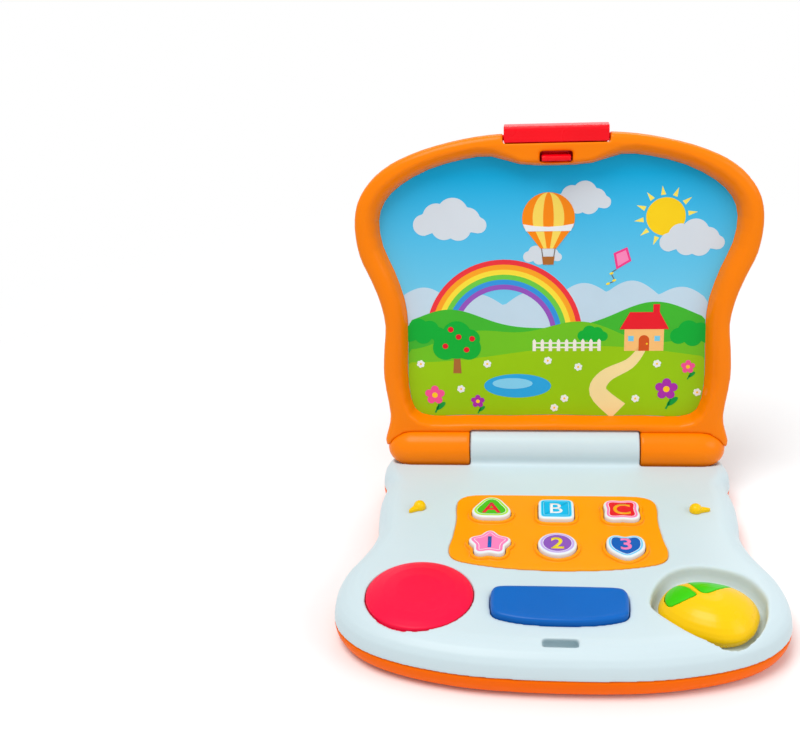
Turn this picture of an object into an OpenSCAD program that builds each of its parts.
// Toy laptop computer for small children: a base with a keypad, a push pad, a bar
// button and a swivelling mouse, and a hinged lid with a picture behind its window.
// +X is to the right of someone who plays with it, +Y to the back and +Z up.
// The origin is on the underside of the base, midway from hinge axis to front edge.

/* [Body] */
// Hinge axis to the middle of the front edge
body_len = 190; // [175:1:215]
// Half width across the cheeks, the widest place
cheek_half = 115.5; // [112:0.5:125]
// Cheeks, forward of the hinge axis, as a share of the length
cheek_share = 0.721; // [0.7:0.001:0.737]
// Half width at the waist
waist_half = 100; // [98:0.5:103]
// Waist, forward of the hinge axis, as a share of the length
waist_share = 0.4105; // [0.39:0.0005:0.426]
// Half width across the ears
ear_half = 103.5; // [102:0.5:107]
// Base behind the hinge axis
rear_over = 14.5; // [14:0.5:18]
// Underside to the flat of the deck
deck_h = 25.8; // [25:0.1:30]
// Underside to the joint of the two base shells
joint_h = 11.6; // [10:0.1:13]
// Wall of every shell
wall = 2.4; // [2:0.1:2.8]
// Height of the deck's rolled edge
roll_r = 10; // [7:0.5:11]
// Width of the deck's rolled edge
roll_w = 14; // [10:0.5:15]

/* [Hinge] */
// Hinge axis above the deck
axis_rise = 5.5; // [5:0.1:6]
// Radius of the hinge knuckles and of the barrel between them
knuckle_r = 12.2; // [11.6:0.1:12.6]
// Half length of the barrel
barrel_half = 50.3; // [46:0.5:56]
// Outer end of each knuckle
knuckle_end = 101; // [98:0.5:101.5]
// Length of each knuckle's rounded end
knuckle_tip = 16; // [12:0.5:18]
// Radius of the steel hinge rod
rod_r = 2.5; // [2:0.1:3]
// Reach of the hinge rod into each knuckle
rod_reach = 30; // [20:1:38]
// Lean of the open lid behind upright, in degrees
lid_lean = 6.6; // [3:0.1:10]

/* [Handle] */
// Reach of the handle behind the base
handle_reach = 36; // [33:1:46]
// Thickness of the grip
handle_t = 17; // [15:0.5:19]
// Overall width of the handle
handle_w = 124; // [110:1:134]
// Radius of the handle's corners, along the middle of the grip
handle_corner = 22; // [16:1:23]

/* [Keypad] */
// Key spacing from left to right
key_dx = 36; // [33:0.5:37]
// Key spacing from back to front
key_ds = 34; // [32:0.5:34]
// Back row, forward of the hinge axis, as a share of the length
key_row_share = 0.35; // [0.342:0.001:0.353]
// Mean radius of a key
key_r = 10.3; // [9:0.1:10.5]
// Keys above the deck
key_proud = 4; // [3:0.1:4.2]
// Thickness of the keypad panel
panel_t = 2.2; // [1.8:0.1:2.4]
// Panel above the deck
panel_proud = 0.3; // [0.1:0.1:0.6]
// Collars above the panel
collar_h = 1.5; // [1:0.1:1.8]
// Width of a collar's wall
collar_w = 1.8; // [1.2:0.1:2]
// Travel of a key
key_travel = 2; // [1:0.1:2]

/* [Buttons] */
// Push pad, left of the middle
pad_x = 70.5; // [69:0.5:71]
// Push pad, behind the front edge
pad_back = 47.5; // [47:0.5:50]
// Half width of the push pad
pad_a = 27.5; // [24:0.5:28]
// Half depth of the push pad
pad_b = 28.2; // [26:0.2:28.4]
// Crown of the push pad above the deck
pad_crown = 3.6; // [2:0.1:4]
// Travel of the push pad and of the bar button
pad_travel = 1.8; // [1:0.1:2]
// Half width of the bar button
bar_half = 34; // [28:0.5:34]
// Back edge of the bar button, behind the front edge
bar_back = 53; // [51:0.5:54]
// Depth of the bar button at its ends
bar_depth = 23.4; // [20:0.2:24]
// Bow of the bar button's front edge
bar_bow = 5; // [2:0.5:5.5]
// Bar button above the deck
bar_proud = 3.4; // [2:0.1:4]
// Gap round each key, pad and button
slip = 0.35; // [0.25:0.05:0.45]
// Width of the flange that holds each of them in
flange_w = 1.3; // [1:0.1:1.5]

/* [Mouse] */
// Mouse swivel, right of the middle
mouse_x = 73; // [72:0.1:74]
// Mouse swivel, behind the front edge
mouse_back = 42.5; // [42:0.5:43.5]
// Half width of the bowl at the deck
bowl_a = 28.5; // [28.2:0.1:29]
// Half depth of the bowl at the deck
bowl_b = 31; // [30.6:0.1:31.5]
// Depth of the bowl
bowl_h = 10; // [9.4:0.1:10.6]
// Half length of the mouse
mouse_a = 24.4; // [22:0.1:24.6]
// Half width of the mouse
mouse_b = 20.8; // [18:0.1:21]
// Crown of the mouse above the deck
mouse_crown = 8.2; // [6:0.1:8.6]
// Way the mouse points, left of straight back, in degrees
mouse_turn = 70; // [64:1:74]
// Radius of the mouse spindle
spindle_r = 5; // [4:0.1:6]
// Travel of a mouse button
click_travel = 0.7; // [0.4:0.1:0.8]

/* [Knobs] */
// Knobs, left and right of the middle
knob_x = 77; // [75:0.5:79]
// Knobs, forward of the hinge axis
knob_s = 61.5; // [58:0.5:62]
// Radius of a knob's dome
knob_r = 3.5; // [3:0.1:4]
// Reach of a knob's pointer
knob_tip = 8; // [6:0.5:9]
// Radius of a knob's shaft
knob_shaft_r = 2; // [1.5:0.1:2.2]

/* [Lid] */
// Rim of the lid in front of the hinge axis
rim_n = 5; // [4.6:0.1:5.1]
// Back of the lid behind the hinge axis
dome_n = 13.2; // [12.6:0.1:15]
// Width of the rim round the window
rim_w = 12.6; // [11.5:0.1:14]
// Face of the picture behind the hinge axis
picture_n = 4.6; // [4.2:0.1:5]
// Thickness of the picture
picture_t = 0.8; // [0.5:0.1:1]
// Thickness of the tray floor behind the picture
tray_t = 1.8; // [1.6:0.1:2.2]

/* [Latch] */
// Half width of the latch
latch_half = 29; // [24:1:32]
// Latch beyond the edge of the lid
latch_out = 3.6; // [2:0.2:4]
// Depth of the latch's bar on the rim
latch_depth = 9; // [7:0.2:9.4]
// Depth of the latch's tongue on the back of the lid
tongue_depth = 24; // [20:1:26]
// Half width of the hook
hook_half = 8; // [5:0.5:8]
// Thickness of the hook
hook_t = 2; // [1.6:0.1:2.2]
// Hook beyond the rim
hook_reach = 4.6; // [4.2:0.1:5]
// Half width of the slot in the deck
slot_half = 8.6; // [8.4:0.1:10]
// Length of the slot from back to front
slot_len = 5.6; // [5.4:0.1:6]

/* [Power] */
// Diameter of a battery cell
cell_d = 10.5; // [10:0.1:10.5]
// Length of a battery cell
cell_len = 44.5; // [40:0.5:45]
// Middle of the battery bay, forward of the hinge axis
bay_s = 58; // [55:1:59]
// Diameter of the loudspeaker
speaker_d = 29; // [26:1:30]
// Height of the loudspeaker
speaker_h = 8; // [6:0.5:10]

/* [Fixings] */
// Radius of a screw's thread
screw_r = 1.5; // [1.3:0.1:1.7]
// Radius of a screw's head
head_r = 2.7; // [2.4:0.1:2.9]
// Height of a screw's head
head_h = 1.6; // [1.2:0.1:1.8]
// Radius of a screw post
post_r = 3.6; // [3.3:0.1:3.9]
// Thickness of a circuit board
board_t = 1.6; // [1:0.1:1.6]

/* [Hidden] */

$fn = 48;
eps = 0.01;
fine = 3;                                // steps in each span of a smooth outline
rod_gap = 0.06;                          // running gap round the rod, spindle and shafts
seat_gap = 0.3;                          // gap under flanges and over domes
hinge_y = body_len / 2;
hinge_z = deck_h + axis_rise;
cheek_at = cheek_share * body_len;
waist_at = waist_share * body_len;
key_row_s = key_row_share * body_len;
pad_s = body_len - pad_back;
bar_s = body_len - bar_back;
mouse_s = body_len - mouse_back;
speaker_x = 0.94 * waist_half - 18;                // the loudspeaker sits inside the waist
speaker_s = waist_at + 10;
body_mid_s = (body_len - rear_over) / 2;
body_half_len = (body_len + rear_over) / 2;
trough_gap = 1.4;                                  // room round the knuckles
notch_top = knuckle_r + 0.5;                       // top of the lid's notch for the barrel
panel_z = deck_h + panel_proud - panel_t;          // underside of the keypad panel

white = [0.85, 0.91, 0.93];
orange = [1.0, 0.56, 0.05];
deep_orange = [1.0, 0.42, 0.03];
red = [0.95, 0.05, 0.15];
steel = [0.75, 0.76, 0.78];
board_green = [0.1, 0.42, 0.25];
rubber = [0.85, 0.86, 0.82];

// ---------- outlines ----------

function flip(l) = [for (i = [len(l) - 1:-1:0]) l[i]];
// A half outline whose first and last points lie on the middle, made whole.
function whole(h) = concat(h, [for (i = [len(h) - 2:-1:1]) [-h[i][0], h[i][1]]]);
function spline(a, b, c, d, t) =
    0.5 * (2 * b + (c - a) * t + (2 * a - 5 * b + 4 * c - d) * t * t + (3 * b - a - 3 * c + d) * t * t * t);
// A closed smooth curve through the points.
function smooth(p, k = fine) = let (n = len(p))
    [for (i = [0:n - 1], j = [0:k - 1])
        spline(p[(i + n - 1) % n], p[i], p[(i + 1) % n], p[(i + 2) % n], j / k)];
// An open smooth curve from the second point to the last but one; the end points guide it.
function open_curve(p, k = fine) = let (n = len(p))
    [for (i = [1:n - 3], j = [0:k - 1]) spline(p[i - 1], p[i], p[i + 1], p[i + 2], j / k), p[n - 2]];
// A closed outline moved outward by d along its normals; the outline runs anticlockwise.
function grow(p, d) = let (n = len(p))
    [for (i = [0:n - 1]) let (v = p[(i + 1) % n] - p[(i + n - 1) % n], w = v / norm(v))
        p[i] + d * [w[1], -w[0]]];
// x and distance forward of the hinge, turned into x and y
function at_s(p) = [for (q = p) [q[0], hinge_y - q[1]]];

side_half = [
    [0, body_len], [0.26 * cheek_half, body_len - 0.9], [0.45 * cheek_half, body_len - 3.4],
    [0.65 * cheek_half, body_len - 9], [0.81 * cheek_half, body_len - 16.8],
    [0.915 * cheek_half, body_len - 26.5], [cheek_half - 2.2, cheek_at + 14.5], [cheek_half, cheek_at],
    [cheek_half - 2.2, cheek_at - 16.5], [waist_half + 7.5, waist_at + 28.5],
    [waist_half + 2.6, waist_at + 14.8], [waist_half, waist_at], [waist_half + 1.4, waist_at - 16],
    [waist_half + 2, waist_at - 33]];
base_half = concat(side_half, [
    [ear_half - 3.3, 26], [ear_half, 13.5], [ear_half - 0.6, 1], [ear_half - 5.5, 4.5 - rear_over],
    [ear_half - 18, -rear_over],
    [0.4 * ear_half, -rear_over], [0, -rear_over]]);
base_outline = at_s(smooth(whole(base_half)));
lid_half = concat(side_half, [
    [ear_half - 4.4, 22], [ear_half - 2.4, 11], [ear_half - 1, 6], [ear_half - 1.6, 2]]);
lid_side = open_curve(concat([[-lid_half[1][0], lid_half[1][1]]], lid_half, [[ear_half - 5, -10]]));
lid_outline = flip(concat(lid_side, [for (i = [len(lid_side) - 1:-1:1]) [-lid_side[i][0], lid_side[i][1]]]));

function base_ring(z, d) = [for (p = base_outline)
    [p[0] * (1 - d / cheek_half),
        (p[1] + body_mid_s - hinge_y) * (1 - d / body_half_len) + hinge_y - body_mid_s, z]];
// A ring of the lid at height n, drawn in by d from front and sides, with its back edge at rear.
function lid_ring(n, d, rear) = [for (p = lid_outline) let (k = (body_len - d - rear) / (body_len - 2))
    [p[0] * (1 - d / cheek_half), rear + (p[1] - 2) * k, n]];

window_half = [
    [0, body_len - rim_w - 6.4], [20, body_len - rim_w - 5.4], [36, body_len - rim_w - 0.8],
    [52, body_len - rim_w - 2], [72, body_len - rim_w - 7.4],
    [cheek_half - rim_w - 14, body_len - rim_w - 16.4], [cheek_half - rim_w - 4.4, body_len - rim_w - 26],
    [cheek_half - rim_w - 0.5, cheek_at + 3], [cheek_half - rim_w - 2.3, cheek_at - 12.3],
    [waist_half - rim_w + 7, waist_at + 31.5], [waist_half - rim_w + 1.6, waist_at + 14],
    [waist_half - rim_w + 0.2, waist_at - 2], [waist_half - rim_w + 1, waist_at - 23],
    [waist_half - rim_w + 1, 38], [waist_half - rim_w - 2.6, 23],
    [74, 17.9], [52, 18.3], [26, 18], [0, 18.6]];
window_outline = flip(smooth(whole(window_half), 2));

panel_half = [
    [0, -19.5], [30, -19.5], [47, -19], [54.5, -14.5], [56, -6], [55.3, 6.5], [56.5, 24], [58, 35],
    [55.5, 43.5], [46, 48], [25, 52], [0, 53.3]];
panel_outline = flip(at_s([for (p = smooth(whole(panel_half)))
    [p[0] * (key_dx + 20) / 56, key_row_s + p[1] * key_ds / 34]]));

function ellipse(a, b, n = 64) = [for (i = [0:n - 1]) [a * cos(360 * i / n), b * sin(360 * i / n)]];
function bell(x, w) = exp(-(x / w) * (x / w));
// Radius of a key's outline at angle t, one rule for each shape
function key_rule(shape, t) = key_r * (
    shape == "a" ? 1 + 0.12 * cos(3 * (t - 90)) :
    shape == "b" ? 0.96 / pow(pow(abs(cos(t)), 6) + pow(abs(sin(t)), 6), 1 / 6) :
    shape == "c" ? 1.02 - 0.12 * cos(4 * t) :
    shape == "1" ? 1 + 0.13 * cos(5 * (t - 90)) :
    shape == "2" ? 1 :
    let (f = abs(t > 270 ? t - 450 : t - 90))
        0.98 - 0.26 * bell(f, 24) + 0.1 * bell(f - 50, 26) + 0.16 * bell(180 - f, 24));
function key_outline(shape) = [for (i = [0:47]) key_rule(shape, 7.5 * i) * [cos(7.5 * i), sin(7.5 * i)]];

bar_half_pts = let (f = bar_s + bar_depth) [
    [0, f + bar_bow], [bar_half * 0.5, f + bar_bow * 0.8], [bar_half - 5, f + bar_bow * 0.2],
    [bar_half - 1, f - 2.2], [bar_half, f - 7], [bar_half + 0.3, bar_s + 8], [bar_half - 0.4, bar_s + 3.4],
    [bar_half - 4, bar_s + 0.3], [bar_half * 0.5, bar_s - 0.2], [0, bar_s - 0.3]];
bar_outline = at_s(smooth(whole(bar_half_pts)));

// ---------- building blocks ----------

// A solid through rings of points, from the lowest ring up; each runs anticlockwise from above.
module loft(rings) {
    n = len(rings[0]);
    m = len(rings);
    polyhedron(
        points = [for (r = rings) each r],
        faces = concat(
            [[for (i = [0:n - 1]) i]],
            [for (j = [0:m - 2], i = [0:n - 1]) let (k = (i + 1) % n)
                [j * n + i, (j + 1) * n + i, (j + 1) * n + k]],
            [for (j = [0:m - 2], i = [0:n - 1]) let (k = (i + 1) % n)
                [j * n + i, (j + 1) * n + k, j * n + k]],
            [[for (i = [n - 1:-1:0]) (m - 1) * n + i]]));
}

function raise(p, z) = [for (q = p) [q[0], q[1], z]];
function shift(p, d) = [for (q = p) q + d];

module slab(outline, z0, z1) {
    translate([0, 0, z0]) linear_extrude(z1 - z0) polygon(outline);
}

module at_hinge() {
    translate([0, hinge_y, hinge_z]) children();
}

// Puts a shape drawn in x, distance up the lid and height toward the viewer in its open place.
module on_lid() {
    at_hinge() rotate([90 - lid_lean, 0, 0]) children();
}

module cylinder_between(r, z0, z1) {
    translate([0, 0, z0]) cylinder(r = r, h = z1 - z0);
}

// A cylinder along X from x0 to x1
module along_x(r, x0, x1) {
    translate([x0, 0, 0]) rotate([0, 90, 0]) cylinder(r = r, h = x1 - x0);
}

module mirrored() {
    children();
    mirror([1, 0, 0]) children();
}

// A knuckle about the X axis from x0 to its rounded end, larger by d
module knuckle(d, x0) {
    rotate([0, 90, 0]) rotate_extrude() polygon(concat([[0, x0], [knuckle_r + d, x0]],
        [for (a = [0:11.25:79])
            [(knuckle_r + d) * cos(a), knuckle_end - knuckle_tip + (knuckle_tip + d) * sin(a)]],
        [[0, knuckle_end + d]]));
}

// A screw along Z with the underside of its head at z = 0, its thread upward
module screw(len, r = screw_r) {
    difference() {
        union() {
            cylinder(r = r, h = len);
            translate([0, 0, -head_h]) cylinder(r = head_r * r / screw_r, h = head_h);
        }
        for (a = [0, 90]) rotate([0, 0, a]) translate([-head_r * 0.6, -0.3, -head_h - eps])
            cube([head_r * 1.2, 0.6, 0.8]);
    }
}

// A wire that runs straight from point to point
module wire(points, r = 0.6) {
    for (i = [0:len(points) - 2]) {
        v = points[i + 1] - points[i];
        translate(points[i]) rotate([0, acos(v[2] / norm(v)), atan2(v[1], v[0])])
            cylinder(r = r, h = norm(v), $fn = 24);
    }
    for (i = [1:len(points) - 2]) translate(points[i]) sphere(r = r, $fn = 24);
}

// ---------- base shells ----------

case_posts = [[0.86 * waist_half, 33], [0.94 * waist_half, waist_at + 21], [26, body_len - 13]];
post_top = joint_h;                                // where each post meets its boss
module at_case_posts() {
    mirrored() for (p = case_posts) translate([p[0], hinge_y - p[1], 0]) children();
}

handle_grip = handle_t / 2;
handle_back = hinge_y + rear_over + handle_reach - handle_grip;
handle_arm = handle_w / 2 - handle_grip;
module handle_tube(r) {
    root = hinge_y + rear_over - 2 * wall;
    translate([0, 0, joint_h]) {
        mirrored() {
            translate([handle_arm, root, 0]) rotate([-90, 0, 0])
                cylinder(r = r, h = handle_back - handle_corner - root);
            translate([handle_arm - handle_corner, handle_back - handle_corner, 0])
                rotate_extrude(angle = 90) translate([handle_corner, 0]) circle(r = r);
        }
        translate([0, handle_back, 0]) along_x(r, -(handle_arm - handle_corner), handle_arm - handle_corner);
    }
}

// The handle's shell above or below the joint, closed off where it meets the base
module handle_half(up) {
    difference() {
        handle_tube(handle_grip);
        handle_tube(handle_grip - wall);
        translate([-handle_w, 0, up ? joint_h - 2 * handle_t : joint_h])
            cube([2 * handle_w, 3 * body_len, 2 * handle_t]);
        translate([-handle_w, -body_len, -body_len])
            cube([2 * handle_w, hinge_y + rear_over - wall + body_len, 2 * body_len]);
    }
}

foot_in = 6.5;                                     // inset of the flat underside
bottom_rings = [
    base_ring(0, foot_in), base_ring(1.1, 3.9), base_ring(3.4, 1.9), base_ring(7, 0.6),
    base_ring(joint_h, 0)];
bay_x = cell_len / 2 + 4.5;                        // half width inside the battery bay
bay_w = 3 * cell_d + 1.2;                          // its depth from back to front
bay_y = hinge_y - bay_s;
door_t = 1.8;
door_z = 0.3;
bay_roof = door_z + door_t + cell_d + 0.4;
bay_top = bay_roof + wall / 2;
door_lip = 3;
door_tab = 6;                                      // how far the door's screw stands in front of the bay
block_z = 0.4;                                     // where the blocks on the floor start
board_z = panel_z - 3.1 - key_travel - board_t;    // underside of the main board
board_half = key_dx + 15.5;
board_s0 = key_row_s - 14;
board_s1 = key_row_s + key_ds + 15.5;
board_posts = [[board_half - 3.8, board_s0 + 3.8], [board_half - 3.8, board_s1 - 3.8]];
small_board_z = deck_h - wall - 5.6 - pad_travel;
pad_board_half = 13;
bar_board_half = bar_half - 5;
small_posts = [
    [-pad_x - pad_board_half + 3, pad_s], [-pad_x + pad_board_half - 3, pad_s],
    [-bar_board_half + 3, bar_s + 13], [bar_board_half - 3, bar_s + 13]];
pilot_r = screw_r * 0.8;
module at_points(points) {
    for (p = points) translate([p[0], hinge_y - p[1], 0]) children();
}
module at_board_posts() {
    mirrored() at_points(board_posts) children();
}

module post(z0, z1, r = post_r, bore = pilot_r, bore_len = 8) {
    translate([0, 0, z0]) difference() {
        cylinder(r = r, h = z1 - z0);
        translate([0, 0, z1 - z0 - bore_len]) cylinder(r = bore, h = bore_len + eps);
    }
}

grille_pitch = 5;
grille_r = 1.25;
lead_z = bay_roof - 3;                             // where the leads leave the battery bay
module bottom_shell() color(deep_orange) {
    difference() {
        union() {
            difference() {
                loft(bottom_rings);
                loft([base_ring(wall, foot_in + 1), base_ring(5, 3.4), base_ring(joint_h + eps, wall)]);
            }
            handle_half(false);
            at_case_posts() cylinder(r = post_r, h = post_top);
            translate([-bay_x - wall, bay_y - bay_w / 2 - wall, block_z])
                cube([2 * (bay_x + wall), bay_w + 2 * wall, bay_top - block_z]);
            // floor block round the door's rebate
            translate([-bay_x - door_lip - wall, bay_y - bay_w / 2 - door_lip - door_tab - wall, block_z])
                cube([2 * (bay_x + door_lip + wall), bay_w + 2 * (door_lip + wall) + door_tab,
                    door_z + door_t + wall - block_z]);
            translate([0, bay_y - bay_w / 2 - door_tab, block_z]) cylinder(r = post_r, h = 10);
            translate([speaker_x, hinge_y - speaker_s, wall - eps]) difference() {
                cylinder(r = speaker_d / 2 + 1.8, h = 3);
                translate([0, 0, -1]) cylinder(r = speaker_d / 2 + 0.2, h = 5);
            }
            at_points(speaker_posts) cylinder(r = 3, h = wall + speaker_h);
            at_board_posts() post(wall - eps, board_z, 3);
            at_points(small_posts) post(wall - eps, small_board_z, 2.6);
        }
        at_case_posts() {
            translate([0, 0, -eps]) cylinder(r = head_r + 0.3, h = 4 + eps);
            cylinder(r = screw_r + 0.1, h = 40);
        }
        translate([-bay_x, bay_y - bay_w / 2, -1]) cube([2 * bay_x, bay_w, bay_roof + 1]);
        translate([-bay_x - door_lip, bay_y - bay_w / 2 - door_lip - door_tab, -1])
            cube([2 * (bay_x + door_lip), bay_w + 2 * door_lip + door_tab, 1 + door_z + door_t + 0.1]);
        translate([0, bay_y - bay_w / 2 - door_tab, -1]) cylinder(r = pilot_r, h = 9.5);
        at_points(speaker_posts) translate([0, 0, wall + 1]) cylinder(r = pilot_r, h = speaker_h);
        for (i = [-2:2], j = [-2:2]) if (abs(i) + abs(j) < 4)
            translate([speaker_x + grille_pitch * i, hinge_y - speaker_s + grille_pitch * j, -1])
                cylinder(r = grille_r, h = 6);
        mirrored() translate([bay_x - 2, bay_y + bay_w / 2 - 1, lead_z]) rotate([-90, 0, 0])
            cylinder(r = 1, h = 3 * wall);
    }
}

speaker_out = speaker_d / 2 + 4.4;
speaker_posts = [[speaker_x - speaker_out, speaker_s], [speaker_x, speaker_s + speaker_out]];

deck_rings = concat(
    [base_ring(joint_h, 0)],
    [for (a = [0:18:90]) base_ring(deck_h - roll_r * (1 - sin(a)), 0.6 + roll_w * (1 - cos(a)))]);
bowl_mid = [mouse_x, hinge_y - mouse_s + 0.08 * bowl_b];
// The bowl's outline, in shares of its half width and half depth
bowl_shape = [
    [1, 0], [1, 0.25], [0.82, 0.64], [0.51, 0.88], [0, 1], [-0.46, 0.885], [-0.8, 0.51], [-0.97, 0.05],
    [-0.91, -0.2], [-0.56, -0.58], [-0.26, -0.82], [0.14, -0.985], [0.5, -0.9], [0.77, -0.645],
    [0.94, -0.32]];
bowl_outline = smooth([for (p = bowl_shape) [bowl_a * p[0], bowl_b * p[1]]]);
function bowl_ring(d, z) = raise(shift(grow(bowl_outline, d), bowl_mid), z);
bowl_floor = deck_h - bowl_h;
slot_s = body_len - 15 + slot_len / 2;             // middle of the latch slot
pocket_h = 8;                                      // depth of the pocket under the slot
nose_room = 2.2;                                   // room behind the slot for the hook's nose
pad_mid = [-pad_x, hinge_y - pad_s];
function pad_outline(d) = shift(ellipse(pad_a + d, pad_b + d), pad_mid);
key_places = [
    ["a", -1, 0], ["b", 0, 0], ["c", 1, 0], ["1", -1, 1], ["2", 0, 1], ["3", 1, 1]];
module at_key(k) {
    translate([k[1] * key_dx, hinge_y - key_row_s - k[2] * key_ds, 0]) children();
}

// What stands inside the top shell's hollow
module top_inside() {
    // trough under each knuckle
    at_hinge() mirrored() knuckle(trough_gap + wall, barrel_half - wall);
    loft([bowl_ring(wall - 2.4, bowl_floor - wall), bowl_ring(wall - 0.2, deck_h - roll_r / 2),
        bowl_ring(wall, deck_h)]);
    at_case_posts() cylinder_between(post_r, post_top, deck_h);
    slab(grow(panel_outline, 1.5), panel_z - 2, deck_h);
    // pocket under the latch slot
    translate([-slot_half - wall, hinge_y - slot_s - slot_len / 2 - wall, deck_h - pocket_h - wall])
        cube([2 * (slot_half + wall), slot_len + nose_room + 2 * wall, pocket_h + wall]);
}

module top_shell() color(white) {
    difference() {
        union() {
            difference() {
                loft(deck_rings);
                difference() {
                    loft([base_ring(joint_h - eps, wall), base_ring(deck_h - roll_r, wall + 0.8),
                        base_ring(deck_h - wall - 3.6, wall + 3),
                        base_ring(deck_h - wall, wall + 0.64 * roll_w)]);
                    top_inside();
                }
            }
            handle_half(true);
            // barrel and the ramp in front of it
            at_hinge() along_x(knuckle_r, -barrel_half, barrel_half);
            at_hinge() translate([-barrel_half, 0, 0]) rotate([90, 0, 90]) linear_extrude(2 * barrel_half)
                polygon([[-knuckle_r * 0.96, knuckle_r * 0.28], [-knuckle_r, -axis_rise - wall],
                    [knuckle_r, -axis_rise - wall], [knuckle_r, 0]]);
        }
        // the barrel is hollow, with an end wall at each side
        at_hinge() along_x(knuckle_r - wall, -barrel_half + 3.5, barrel_half - 3.5);
        translate([-barrel_half + 3.5, hinge_y - knuckle_r + wall, joint_h - 1])
            cube([2 * barrel_half - 7, 2 * (knuckle_r - wall), hinge_z - joint_h + 1]);
        at_hinge() along_x(rod_r, -cheek_half, cheek_half);
        at_hinge() mirrored() knuckle(trough_gap, barrel_half);
        // openings of the deck
        slab(grow(panel_outline, 0.15), panel_z, deck_h + 1);
        slab(grow(panel_outline, -3), deck_h - 10, deck_h + 1);
        slab(pad_outline(slip), deck_h - 10, deck_h + 1);
        slab(pad_outline(flange_w + slip), deck_h - 10, deck_h - wall);
        slab(grow(bar_outline, slip), deck_h - 10, deck_h + 1);
        loft([bowl_ring(-2.8, bowl_floor), bowl_ring(-1.2, bowl_floor + 1.4), bowl_ring(-0.3, bowl_floor + 4.2),
            bowl_ring(0, deck_h - 1.8), bowl_ring(0.3, deck_h - 0.6), bowl_ring(1.4, deck_h + 0.2)]);
        translate([mouse_x, hinge_y - mouse_s, bowl_floor - 2 * wall])
            cylinder(r = spindle_r + rod_gap, h = 3 * wall);
        translate([-slot_half, hinge_y - slot_s - slot_len / 2, deck_h - pocket_h]) {
            cube([2 * slot_half, slot_len, pocket_h + 1]);
            cube([2 * slot_half, slot_len + nose_room, pocket_h - wall]);
        }
        mirrored() translate([knob_x, hinge_y - knob_s, deck_h - 8])
            cylinder(r = knob_shaft_r + rod_gap, h = 9);
        at_case_posts() translate([0, 0, joint_h - 1]) cylinder(r = screw_r, h = 9);
    }
}

module hinge_rod() color(steel)
    at_hinge() along_x(rod_r, -barrel_half - rod_reach, barrel_half + rod_reach);

module case_screws() color(steel)
    at_case_posts() translate([0, 0, 4]) screw(joint_h + 6 - 4);

// ---------- keypad ----------

key_top = deck_h + key_proud;
flange_z1 = panel_z - 0.2;
flange_z0 = flange_z1 - 1.2;
dome_top = panel_z - 0.9;
membrane_t = 0.8;
membrane_z = board_z + board_t;
key_wall = 1.8;

module key_panel() color(orange) {
    difference() {
        union() {
            slab(panel_outline, panel_z, deck_h + panel_proud);
            for (k = key_places) at_key(k)
                slab(grow(key_outline(k[0]), slip + collar_w), panel_z, deck_h + panel_proud + collar_h);
        }
        for (k = key_places) at_key(k) slab(grow(key_outline(k[0]), slip), panel_z - 1, deck_h + 9);
    }
}

module key_cap(k) color(white) at_key(k) {
    o = key_outline(k[0]);
    difference() {
        union() {
            loft([raise(o, flange_z0), raise(o, key_top - 1.2), raise(grow(o, -0.4), key_top - 0.3),
                raise(grow(o, -1.2), key_top)]);
            slab(grow(o, flange_w), flange_z0, flange_z1);
        }
        slab(grow(o, -key_wall), flange_z0 - 1, key_top - 2);
    }
    cylinder_between(2.6, dome_top + 0.2, key_top - 2);
}

module key_membrane() color(rubber) {
    half = key_dx + 8.5;
    difference() {
        union() {
            translate([-half, hinge_y - board_s1 + 2, membrane_z])
                cube([2 * half, board_s1 - board_s0 - 4, membrane_t]);
            for (k = key_places) at_key(k) translate([0, 0, membrane_z + membrane_t - eps])
                cylinder(r1 = 4.4, r2 = 3, h = dome_top - membrane_z - membrane_t);
        }
        for (k = key_places) at_key(k) translate([0, 0, membrane_z - eps])
            cylinder(r = 2.4, h = dome_top - membrane_z - 1);
    }
}

module main_board() color(board_green) difference() {
    translate([-board_half, hinge_y - board_s1, board_z])
        cube([2 * board_half, board_s1 - board_s0, board_t]);
    at_board_posts() translate([0, 0, board_z - 1]) cylinder(r = pilot_r + 0.1, h = 4);
}

module board_parts() color([0.15, 0.15, 0.17]) {
    under = board_z;
    translate([-board_half + 9, hinge_y - board_s1 + 4, under - 1.4]) cube([9, 9, 1.4]);
    for (d = [20, 28]) translate([board_half - d, hinge_y - board_s1 + 6, under]) mirror([0, 0, 1])
        cylinder(r = 2.5, h = 4);
    for (i = [0:3]) translate([-12 + 5 * i, hinge_y - board_s1 + 6, under - 0.7]) cube([2.6, 1.4, 0.7]);
}

module board_screws() color(steel)
    at_board_posts() translate([0, 0, board_z + board_t]) mirror([0, 0, 1]) screw(board_t + 5, pilot_r);

// ---------- push pad and bar button ----------

button_flange1 = deck_h - wall - 0.3;
button_flange0 = button_flange1 - 1.2;
small_top = small_board_z + board_t;
small_dome_top = button_flange0 - 0.9;

module button_body(o, crown) {
    difference() {
        union() {
            loft([raise(o, button_flange0), raise(o, deck_h + 0.1),
                raise(grow(o, -0.7), deck_h + crown * 0.14), raise(grow(o, -4), deck_h + crown * 0.46),
                raise(grow(o, -9), deck_h + crown * 0.8), raise(grow(o, -16), deck_h + crown)]);
            slab(grow(o, flange_w), button_flange0, button_flange1);
        }
        slab(grow(o, -key_wall), button_flange0 - 1, deck_h - 1);
    }
}

module push_pad() color(red) {
    button_body(pad_outline(0), pad_crown);
    translate([-pad_x, hinge_y - pad_s, 0]) cylinder_between(3, small_dome_top + 0.2, deck_h - 0.9);
}

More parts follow.
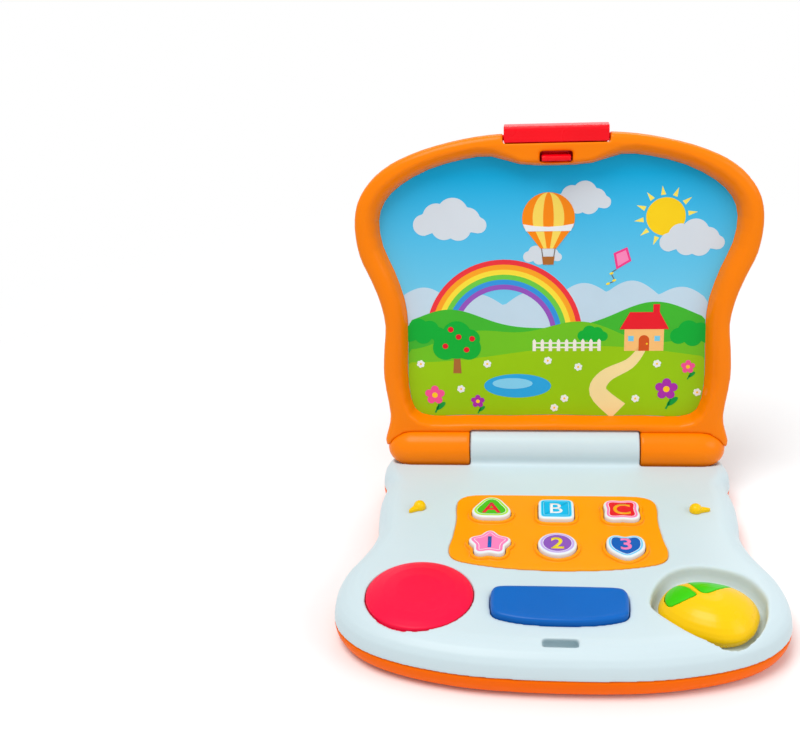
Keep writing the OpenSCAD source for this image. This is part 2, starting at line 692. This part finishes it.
bar_dome_x = bar_half * 0.42;
module bar_button() color([0, 0.37, 0.7]) {
    difference() {
        union() {
            loft([raise(bar_outline, button_flange0), raise(bar_outline, deck_h + bar_proud - 1.6),
                raise(grow(bar_outline, -0.5), deck_h + bar_proud - 0.6),
                raise(grow(bar_outline, -1.8), deck_h + bar_proud - 0.1),
                raise(grow(bar_outline, -2.8), deck_h + bar_proud)]);
            slab(grow(bar_outline, flange_w), button_flange0, button_flange1);
        }
        slab(grow(bar_outline, -key_wall), button_flange0 - 1, deck_h + bar_proud - 3);
    }
    mirrored() translate([bar_dome_x, hinge_y - bar_s - 13, 0])
        cylinder_between(2.6, small_dome_top + 0.2, deck_h + bar_proud - 2.9);
}

module pad_board() color(board_green) difference() {
    translate([-pad_x - pad_board_half, hinge_y - pad_s - 8, small_board_z])
        cube([2 * pad_board_half, 16, board_t]);
    at_points(small_posts) translate([0, 0, small_board_z - 1]) cylinder(r = pilot_r + 0.1, h = 4);
}

module bar_board() color(board_green) difference() {
    translate([-bar_board_half, hinge_y - bar_s - 13 - 5, small_board_z])
        cube([2 * bar_board_half, 10, board_t]);
    at_points(small_posts) translate([0, 0, small_board_z - 1]) cylinder(r = pilot_r + 0.1, h = 4);
}

module small_board_screws() color(steel)
    at_points(small_posts) translate([0, 0, small_top]) mirror([0, 0, 1]) screw(board_t + 5, pilot_r);

module rubber_dome() {
    difference() {
        translate([0, 0, small_top]) union() {
            cylinder(r = 4.8, h = 0.6);
            cylinder(r1 = 4, r2 = 3, h = small_dome_top - small_top);
        }
        translate([0, 0, small_top - eps]) cylinder(r = 2.2, h = small_dome_top - small_top - 0.8);
    }
}

module pad_dome() color(rubber)
    translate([-pad_x, hinge_y - pad_s, 0]) rubber_dome();

module bar_domes() color(rubber)
    mirrored() translate([bar_dome_x, hinge_y - bar_s - 13, 0]) rubber_dome();

// ---------- mouse ----------

mouse_z0 = bowl_floor + seat_gap;
mouse_h = deck_h + mouse_crown - mouse_z0;
mouse_split = 2.2;                                 // thickness of the mouse's lower plate
mouse_wall = 1.8;
mouse_waist = 5;                                   // height of the mouse's widest level
// Half of the mouse's outline from nose to tail, in shares of its half width and half length
mouse_half = [[0, 1], [0.42, 0.93], [0.72, 0.7], [0.93, 0.32], [1, -0.1], [0.95, -0.48], [0.72, -0.8],
    [0.36, -0.97], [0, -1]];
mouse_outline = flip(smooth(whole([for (p = mouse_half) [mouse_b * p[0], mouse_a * p[1]]])));
// How far the mouse is drawn in at a height below its widest level
function mouse_in(z) = lookup(z, [[0, 2.6], [1, 1.6], [3.2, 0.4], [mouse_waist, 0]]);
// Drawn with its nose toward +Y; the swivel is at x = 0, y = 0.
function mouse_ring(d, z) = let (
        k = max(0, (z - mouse_waist) / (mouse_h - mouse_waist)),
        q = sqrt(max(0.0009, 1 - pow(k, mouse_dome))),
        e = d + mouse_in(z))
    [for (p = mouse_outline) [p[0] * q * (1 - e / mouse_b), p[1] * q * (1 - e / mouse_a), mouse_z0 + z]];
mouse_dome = 1.6;                                  // power of the dome: 2 is an ellipse, 1 a cone
mouse_steps = [0.12, 0.27, 0.45, 0.62, 0.76, 0.87, 0.95, 0.99];
module mouse_form(d, low) {
    dome = mouse_h - mouse_waist;
    loft(concat([for (z = [low, 3.2, mouse_waist]) mouse_ring(d, z)],
        [for (k = mouse_steps)
            raise(mouse_ring(d, mouse_waist + dome * k), mouse_z0 + mouse_waist + (dome - d) * k)]));
}
module on_mouse() {
    translate([mouse_x, hinge_y - mouse_s, 0]) rotate([0, 0, mouse_turn]) children();
}

// The mouse buttons' outlines from above, in shares of the mouse's half width and half length
left_shape = [
    [-0.43, 0.59], [-0.36, 0.47], [-0.26, 0.35], [-0.14, 0.24], [0, 0.345], [0.14, 0.46],
    [0.25, 0.58], [0.38, 0.7], [0.41, 0.78], [0.28, 0.86], [0.07, 0.89], [-0.2, 0.85], [-0.44, 0.72]];
right_shape = [
    [0.48, 0.52], [0.24, 0.38], [0.1, 0.28], [-0.02, 0.17], [-0.03, 0.08], [0.07, -0.02], [0.23, -0.11],
    [0.45, -0.22], [0.7, -0.3], [0.78, -0.24], [0.74, -0.02], [0.7, 0.2], [0.62, 0.44], [0.56, 0.53]];
function click_outline(side, d) =
    grow(smooth([for (p = side < 0 ? left_shape : right_shape) [mouse_b * p[0], mouse_a * p[1]]], 2), d);
click_at = [[0, 0.6 * mouse_a], [0.33 * mouse_b, 0.14 * mouse_a]];   // their rubber domes
click_dome_h = 1 + click_travel;
click_post_h = 0.36 * mouse_h;
click_low = 0.5 * mouse_h;                         // lower edge of the buttons' sides
module click_prism(side, d, low) {
    translate([0, 0, mouse_z0 + low]) linear_extrude(mouse_h) polygon(click_outline(side, d));
}

module mouse_shell() color([0.98, 0.8, 0]) on_mouse() difference() {
    mouse_form(0, mouse_split);
    mouse_form(mouse_wall, mouse_split - 1);
    for (side = [-1, 1]) click_prism(side, 0.25, click_low - click_travel - 0.4);
}

module mouse_click(side) color([0.25, 0.8, 0.05]) on_mouse() {
    difference() {
        intersection() {
            mouse_form(0, mouse_split);
            union() {
                click_prism(side, 0, click_low);
                intersection() {
                    click_prism(side, 1, click_low);
                    mouse_form(mouse_wall + 0.4, mouse_split - 1);
                }
            }
        }
        mouse_form(mouse_wall + 1.6, mouse_split - 1.5);
    }
    // plunger over the rubber dome
    intersection() {
        translate(click_at[side < 0 ? 0 : 1])
            cylinder_between(1.4, mouse_z0 + click_post_h + click_dome_h + 0.15, mouse_z0 + mouse_h);
        mouse_form(mouse_wall + 0.8, mouse_split - 1);
    }
}

module mouse_base() color([0.98, 0.8, 0]) on_mouse() difference() {
    union() {
        loft([for (z = [0, 1, mouse_split - 0.02]) mouse_ring(0.1, z)]);
        cylinder_between(spindle_r, bowl_floor - wall - 0.3, mouse_z0 + mouse_split);
        for (p = click_at) translate(p) cylinder_between(2, mouse_z0 + 1, mouse_z0 + click_post_h);
    }
    translate([0, 0, bowl_floor - 2 * wall]) cylinder(r = pilot_r, h = 2 * wall + mouse_split);
}

module mouse_domes() color(rubber) on_mouse()
    for (p = click_at) translate(p)
        cylinder_between(1.6, mouse_z0 + click_post_h, mouse_z0 + click_post_h + click_dome_h);

washer_t = 1.2;
washer_z = bowl_floor - wall - 0.3 - washer_t;
module mouse_washer() color(steel) translate([mouse_x, hinge_y - mouse_s, washer_z]) difference() {
    cylinder(r = spindle_r + 3, h = washer_t);
    translate([0, 0, -1]) cylinder(r = pilot_r + 0.15, h = 4);
}

module mouse_screw() color(steel)
    translate([mouse_x, hinge_y - mouse_s, washer_z]) screw(washer_t + wall + 1.5, pilot_r);

// ---------- knobs and switches ----------

module knob() {
    cap_z = deck_h + 0.15;
    translate([0, 0, cap_z]) cylinder(r = knob_r, h = 1.6);
    translate([0, 0, cap_z + 1.6]) intersection() {
        translate([0, 0, -0.6]) sphere(r = knob_r + 0.05);
        cylinder(r = knob_r, h = knob_r);
    }
    // the pointer tapers from the dome to its tip
    translate([0, 0, cap_z]) linear_extrude(1.9)
        polygon([[0, -knob_r * 0.85], [knob_tip - 0.8, -0.7], [knob_tip, 0], [knob_tip - 0.8, 0.7],
            [0, knob_r * 0.85]]);
    cylinder_between(knob_shaft_r, deck_h - wall - 4, cap_z);
}

module power_knob() color([0.98, 0.8, 0])
    translate([-knob_x, hinge_y - knob_s, 0]) rotate([0, 0, 225]) knob();
module volume_knob() color([0.98, 0.8, 0])
    translate([knob_x, hinge_y - knob_s, 0]) knob();

module switch_body(x) {
    h = 6;
    translate([x, hinge_y - knob_s, 0]) difference() {
        translate([-6, -5, deck_h - wall - h]) cube([12, 10, h]);
        cylinder_between(knob_shaft_r + rod_gap, deck_h - wall - 4.1, deck_h);
    }
}
module power_switch() color([0.15, 0.15, 0.17]) switch_body(-knob_x);
module volume_dial() color([0.15, 0.15, 0.17]) switch_body(knob_x);

// ---------- loudspeaker and power ----------

module speaker() color([0.2, 0.2, 0.22]) translate([speaker_x, hinge_y - speaker_s, wall]) {
    difference() {
        cylinder(r = speaker_d / 2, h = 2);
        translate([0, 0, -1]) cylinder(r = speaker_d / 2 - 2, h = 2.2);
    }
    translate([0, 0, 2]) cylinder(r1 = speaker_d / 2 - 1, r2 = speaker_d * 0.3, h = speaker_h - 5);
    translate([0, 0, speaker_h - 3]) cylinder(r = speaker_d * 0.3, h = 3);
}

module speaker_clamp() color(steel) {
    z = wall + speaker_h;
    difference() {
        union() {
            translate([speaker_x, hinge_y - speaker_s, z]) cylinder(r = speaker_d * 0.32, h = 1);
            translate([speaker_x - speaker_out - 3, hinge_y - speaker_s - 3, z])
                cube([speaker_out + 3, 6, 1]);
            translate([speaker_x - 3, hinge_y - speaker_s - speaker_out - 3, z])
                cube([6, speaker_out + 3, 1]);
        }
        at_points(speaker_posts) translate([0, 0, z - 1]) cylinder(r = pilot_r + 0.1, h = 3);
    }
}

module speaker_screws() color(steel)
    at_points(speaker_posts) translate([0, 0, wall + speaker_h + 1]) mirror([0, 0, 1]) screw(5, pilot_r);

door_x = bay_x + door_lip - 0.3;
module battery_door() color(deep_orange) {
    y0 = bay_y - bay_w / 2 - door_lip - door_tab + 0.3;
    y1 = bay_y + bay_w / 2 + door_lip - 0.3;
    difference() {
        translate([-door_x, y0, door_z]) cube([2 * door_x, y1 - y0, door_t]);
        translate([0, bay_y - bay_w / 2 - door_tab, -1]) {
            cylinder(r = pilot_r + 0.15, h = 9);
            cylinder(r = head_r + 0.2, h = 1 + door_z + door_t / 2);
        }
        for (i = [-3:3]) translate([6 * i - 0.6, y1 - 9, door_z - 1]) cube([1.2, 6, 1.4]);
    }
}

module battery_door_screw() color(steel) {
    seat = door_z + door_t / 2;
    translate([0, bay_y - bay_w / 2 - door_tab, seat]) difference() {
        union() {
            cylinder(r = pilot_r, h = 6.5);
            translate([0, 0, -0.7]) cylinder(r = head_r, h = 0.7);
        }
        translate([-head_r * 0.6, -0.3, -0.7 - eps]) cube([head_r * 1.2, 0.6, 0.4]);
    }
}

cell_z = door_z + door_t + 0.2 + cell_d / 2;
module cell() {
    translate([-cell_len / 2, 0, 0]) {
        along_x(cell_d / 2, 0, cell_len - 1);
        along_x(1.9, cell_len - 1, cell_len);
    }
}
module battery_cells() color([0.2, 0.55, 0.3])
    for (i = [-1:1]) translate([0, bay_y + i * (cell_d + 0.3), cell_z])
        rotate([0, 0, i == 0 ? 180 : 0]) cell();

module battery_contacts() color(steel)
    for (i = [-1:1], side = [-1, 1]) translate([0, bay_y + i * (cell_d + 0.3), cell_z]) {
        translate([side > 0 ? bay_x - 0.4 : -bay_x, -cell_d * 0.4, -cell_d * 0.4])
            cube([0.4, cell_d * 0.8, cell_d * 0.8]);
        // a coil on the flat end of each cell, a raised button on the other
        if (side == (i == 0 ? 1 : -1)) for (j = [0:2])
            translate([side * (bay_x - 0.9 - 1.3 * j), 0, 0]) rotate([0, 90, 0])
                rotate_extrude() translate([3.2 - 0.45 * j, 0]) circle(r = 0.66, $fn = 16);
        else along_x2(side, cell_len / 2, bay_x - 0.4, 2.4);
    }
module along_x2(side, a, b, r) {
    along_x(r, side > 0 ? a : -b, side > 0 ? b : -a);
}

module battery_leads() color([0.8, 0.1, 0.1])
    for (side = [-1, 1]) wire([
        [side * (bay_x - 2), bay_y + bay_w / 2 + 0.2, lead_z],
        [side * (bay_x - 2), bay_y + bay_w / 2 + 5.5, lead_z],
        [side * (bay_x - 2), bay_y + bay_w / 2 + 5.5, board_z]], 0.7);

module speaker_leads() color([0.1, 0.1, 0.1])
    for (i = [-1, 1]) wire([
        [speaker_x - speaker_d * 0.3, hinge_y - speaker_s + 6 + i, wall + speaker_h - 1.4],
        [board_half - 5, hinge_y - speaker_s + 6 + i, wall + speaker_h - 1.4],
        [board_half - 5, hinge_y - speaker_s + 6 + i, board_z]], 0.5);

// ---------- lid ----------

lid_floor = picture_n + picture_t;                 // front of the tray floor, behind the axis
lid_posts = [[0.72 * waist_half, 40], [0.84 * waist_half, cheek_at + 1], [16, body_len / 2 + 1]];
latch_gap = 0.6;                                   // room at each end of the latch's bar
latch_pivot = [body_len - 3.6, -2.6];              // distance up the lid, height toward the viewer
latch_pin_r = 1.5;
bar_low = body_len + latch_out - latch_depth;      // lower edge of the latch's bar
module lid_notches() {
    translate([-barrel_half - 0.5, -30, -40]) cube([2 * barrel_half + 1, 30 + notch_top, 80]);
    // pocket for the latch
    translate([-latch_half - latch_gap, bar_low - 0.5, -dome_n - 5])
        cube([2 * (latch_half + latch_gap), 30, dome_n + rim_n + 9]);
}
module at_lid_posts() {
    mirrored() for (p = lid_posts) translate([p[0], p[1], 0]) children();
}
function tongue_outline(d) = concat(
    [for (i = [0:24]) let (t = 180 + 7.5 * i)
        [(latch_half + d) * cos(t), bar_low - 0.5 + (tongue_depth - latch_depth + d) * sin(t)]],
    [[latch_half + d, body_len + 9], [-latch_half - d, body_len + 9]]);

// The solid end of both lid shells, above the knuckles and the barrel
module lid_foot() {
    translate([-cheek_half, -wall, -2 * dome_n]) cube([2 * cheek_half, notch_top + 2 * wall, 4 * dome_n]);
}

// What stands inside the lid's back shell
module lid_inside() {
    lid_foot();
    at_lid_posts() cylinder_between(post_r, -dome_n, -lid_floor - tray_t);
    // blocks that carry the latch's pins
    mirrored() translate([latch_half + latch_gap, bar_low - 3, -dome_n]) cube([4, 30, dome_n + 0.1]);
}

tongue_swing = 1.2;                                // room for the tongue when the latch is pressed
module lid_back_shell() color(orange) on_lid() {
    difference() {
        union() {
            difference() {
                loft(flip([lid_ring(0, 0, 2), lid_ring(-5, 0.6, 2), lid_ring(-0.65 * dome_n, 2.6, 2),
                    lid_ring(-0.81 * dome_n, 6, 3), lid_ring(-0.91 * dome_n, 12, 7),
                    lid_ring(-0.97 * dome_n, 24, 16), lid_ring(-dome_n, 45, 34)]));
                difference() {
                    loft(flip([lid_ring(eps, wall, 2), lid_ring(-0.45 * dome_n, wall + 0.8, 2),
                        lid_ring(-0.7 * dome_n, wall + 5.5, 3), lid_ring(wall - dome_n, 28, 20)]));
                    lid_inside();
                }
            }
            mirrored() knuckle(0, barrel_half + 0.5);
        }
        lid_notches();
        for (s = [0, -tongue_swing]) translate([0, s, -dome_n - 5]) linear_extrude(dome_n + 0.9)
            polygon(tongue_outline(0.5));
        mirrored() translate([0, latch_pivot[0], latch_pivot[1]])
            along_x(latch_pin_r + rod_gap, latch_half - 5, latch_half + 4);
        mirrored() along_x(rod_r + rod_gap, barrel_half - 5, barrel_half + rod_reach + 0.5);
        at_lid_posts() cylinder_between(pilot_r, -lid_floor - tray_t - 4, -lid_floor);
    }
}

// the rim's inner slope: it is narrower by the hook's window and by the barrel
function rim_share(p) = min(lookup(p[1], [[24, 0.45], [46, 1]]),
    p[1] < hook_s - 30 ? 1 : lookup(abs(p[0]), [[20, 0.45], [44, 1]]));
function rim_ring(d, z) = let (g = grow(window_outline, d))
    [for (i = [0:len(g) - 1]) let (p = window_outline[i], k = rim_share(p))
        [p[0] + k * (g[i][0] - p[0]), p[1] + k * (g[i][1] - p[1]), z]];
module lid_front_frame() color(orange) on_lid() {
    difference() {
        union() {
            difference() {
                loft([lid_ring(0.03, 0, 2), lid_ring(rim_n - 2.4, 0.4, 2), lid_ring(rim_n - 0.8, 2.2, 3),
                    lid_ring(rim_n, 5.2, 5)]);
                difference() {
                    loft([lid_ring(-eps, wall, 2), lid_ring(rim_n - wall, wall + 1.5, 2)]);
                    lid_foot();
                }
            }
            loft([raise(grow(window_outline, 2), -lid_floor - tray_t),
                raise(grow(window_outline, 2.1), -2), rim_ring(5, 1.6),
                rim_ring(8.2, rim_n - wall / 2)]);
        }
        loft([raise(grow(window_outline, -0.7), -lid_floor), rim_ring(0.3, -2), rim_ring(1.2, 0.5),
            rim_ring(2.6, rim_n - 2.4), rim_ring(4.2, rim_n - 1), rim_ring(5.6, rim_n - 0.3),
            rim_ring(6.8, rim_n + 0.05)]);
        lid_notches();
        mirrored() knuckle(0.1, barrel_half - 5);
        // window for the hook
        translate([-hook_half - 1, hook_s - 2.2, -1]) cube([2 * hook_half + 2, hook_t + 4.4, rim_n + 4]);
        at_lid_posts() {
            translate([0, 0, -lid_floor - head_h * 0.55]) cylinder(r = head_r + 0.2, h = 4);
            cylinder_between(screw_r + 0.15, -20, 0);
        }
    }
}

module screen_picture() color([0.3, 0.75, 0.9]) on_lid()
    slab(grow(window_outline, -0.8), -lid_floor, -picture_n);

module lid_screws() color(steel) on_lid()
    at_lid_posts() translate([0, 0, -lid_floor - head_h * 0.55]) mirror([0, 0, 1]) difference() {
        union() {
            cylinder(r = pilot_r, h = tray_t - head_h * 0.55 + 3.5);
            translate([0, 0, -head_h * 0.5]) cylinder(r = head_r, h = head_h * 0.5);
        }
        translate([-head_r * 0.6, -0.3, -head_h * 0.5 - eps]) cube([head_r * 1.2, 0.6, 0.4]);
    }

// ---------- latch ----------

hook_s = slot_s - slot_len / 2 + 0.5;              // where the hook stands on the lid
tongue_n = -dome_n * 0.62;
module latch() color(red) on_lid() {
    bar_top = body_len + latch_out;
    difference() {
        union() {
            // bar over the edge of the lid
            translate([-latch_half, 0, 0]) rotate([90, 0, 90]) linear_extrude(2 * latch_half)
                polygon([[bar_low, rim_n - 0.4], [bar_top - 2, rim_n - 0.4], [bar_top - 0.6, rim_n - 1],
                    [bar_top, rim_n - 2.4], [bar_top, tongue_n + 3], [bar_top - 1.5, tongue_n - 0.6],
                    [bar_top - 4, tongue_n - 2.4], [bar_low - 0.4, tongue_n - 2.8], [bar_low - 0.4, tongue_n],
                    [bar_low + 2, tongue_n + 0.4], [bar_low + 2, rim_n - 3], [bar_low, rim_n - 3]]);
            // tongue on the back of the lid
            intersection() {
                translate([0, 0, -dome_n - 1]) linear_extrude(dome_n) polygon(tongue_outline(0));
                translate([-latch_half, 0, 0]) rotate([90, 0, 90]) linear_extrude(2 * latch_half)
                    polygon([[bar_low, tongue_n], [bar_low - tongue_depth, tongue_n - 2],
                        [bar_low - tongue_depth, tongue_n - 5.2], [bar_low - 8, tongue_n - 4.2],
                        [bar_low, tongue_n - 2.8]]);
            }
            // pins
            translate([0, latch_pivot[0], latch_pivot[1]])
                along_x(latch_pin_r, -latch_half - 3.6, latch_half + 3.6);
            // arm and hook
            translate([-hook_half, 0, 0]) rotate([90, 0, 90]) linear_extrude(2 * hook_half)
                polygon([[bar_low + 3, tongue_n + 5.5], [hook_s, tongue_n + 5.5],
                    [hook_s, rim_n + hook_reach - 1], [hook_s - 0.9, rim_n + hook_reach - 0.9],
                    [hook_s - 0.3, rim_n + hook_reach],
                    [hook_s + hook_t, rim_n + hook_reach], [hook_s + hook_t, tongue_n + 7.5],
                    [bar_low + 3, tongue_n + 7.5]]);
        }
    }
}

spring_x = latch_half / 2;
spring_s = bar_low - 5.6;
module latch_spring() color(steel) on_lid() {
    turns = 4;
    steps = 44;
    r = 2.4;
    wire_r = 0.35;
    low = tongue_n - 0.1;
    high = rim_n - wall - wire_r - 0.05;
    mirrored() coil([for (i = [0:steps]) let (a = 360 * turns * i / steps)
        [[spring_x + r * cos(a), spring_s + r * sin(a), low + (high - low) * i / steps],
            [cos(a), sin(a), 0]]], wire_r, 6);
}

// A tube round points that each carry an outward direction
module coil(path, w, sides) {
    n = sides;
    m = len(path);
    polyhedron(
        points = [for (p = path, j = [0:n - 1])
            p[0] + w * (cos(360 * j / n) * p[1] + sin(360 * j / n) * [0, 0, 1])],
        faces = concat(
            [[for (j = [0:n - 1]) j]],
            [for (i = [0:m - 2], j = [0:n - 1]) let (k = (j + 1) % n)
                [i * n + j, (i + 1) * n + j, (i + 1) * n + k, i * n + k]],
            [[for (j = [n - 1:-1:0]) (m - 1) * n + j]]));
}

// ---------- the nodes ----------

bottom_shell();
top_shell();
hinge_rod();
case_screws();
key_panel();
key_membrane();
main_board();
board_parts();
board_screws();
key_cap(key_places[0]);  // key_a
key_cap(key_places[1]);  // key_b
key_cap(key_places[2]);  // key_c
key_cap(key_places[3]);  // key_1
key_cap(key_places[4]);  // key_2
key_cap(key_places[5]);  // key_3
push_pad();
pad_board();
pad_dome();
bar_button();
bar_board();
bar_domes();
small_board_screws();
mouse_shell();
mouse_base();
mouse_click(-1);  // mouse_button_left
mouse_click(1);  // mouse_button_right
mouse_domes();
mouse_washer();
mouse_screw();
power_knob();
volume_knob();
power_switch();
volume_dial();
speaker();
speaker_clamp();
speaker_screws();
battery_door();
battery_door_screw();
battery_cells();
battery_contacts();
battery_leads();
speaker_leads();
lid_back_shell();
lid_front_frame();
screen_picture();
lid_screws();
latch();
latch_spring();
